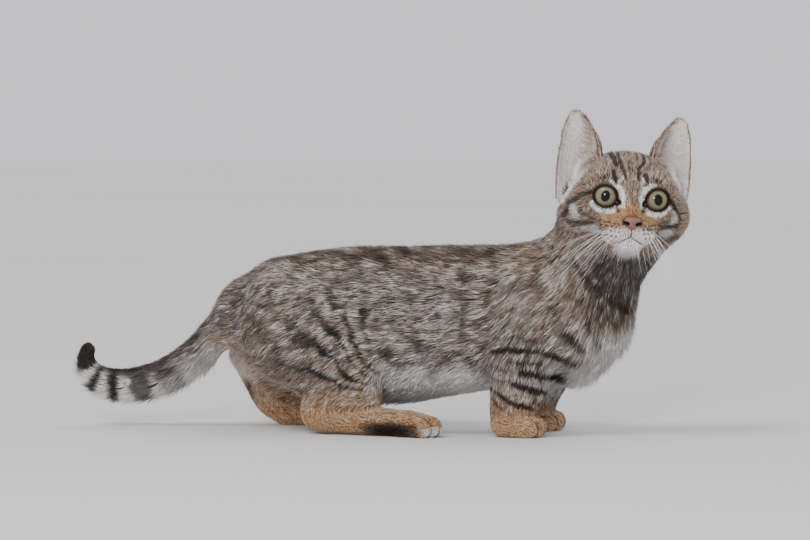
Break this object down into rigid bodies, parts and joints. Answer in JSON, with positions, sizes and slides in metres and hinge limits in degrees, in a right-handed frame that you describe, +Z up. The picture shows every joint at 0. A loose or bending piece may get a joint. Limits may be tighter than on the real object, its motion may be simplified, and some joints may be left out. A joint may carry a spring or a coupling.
{
  "type": "domestic kitten, short-legged spotted tabby",
  "caption": "Life-size still model of a short-legged spotted tabby kitten, standing low with its head turned aside, ears pricked and tail tip raised.",
  "frame": {"origin": "on the floor under the middle of the box round the whole kitten", "axes": "+X forward along the body, +Y to the kitten's left, +Z up"},
  "size_m": [0.3486, 0.094, 0.1764],
  "materials": {
    "coat": "short dense ticked tabby fur, matt",
    "eyes": "wet clear cornea over an olive iris and a black pupil",
    "nose_leather": "fine pebbled damp skin"
  },
  "bodies": {
    "root": {"torso": "coat", "neck": "coat", "head": "coat", "ear_left": "coat", "ear_right": "coat", "foreleg_left": "coat", "foreleg_right": "coat", "thigh_left": "coat", "thigh_right": "coat", "tail_base": "coat", "tail_middle": "coat", "tail_tip": "coat", "forepaw_left": "coat", "forepaw_right": "coat", "hindfoot_left": "coat", "hindfoot_right": "coat", "eye_left": "eyes", "eye_right": "eyes", "nose": "nose_leather"}
  },
  "joints": []
}
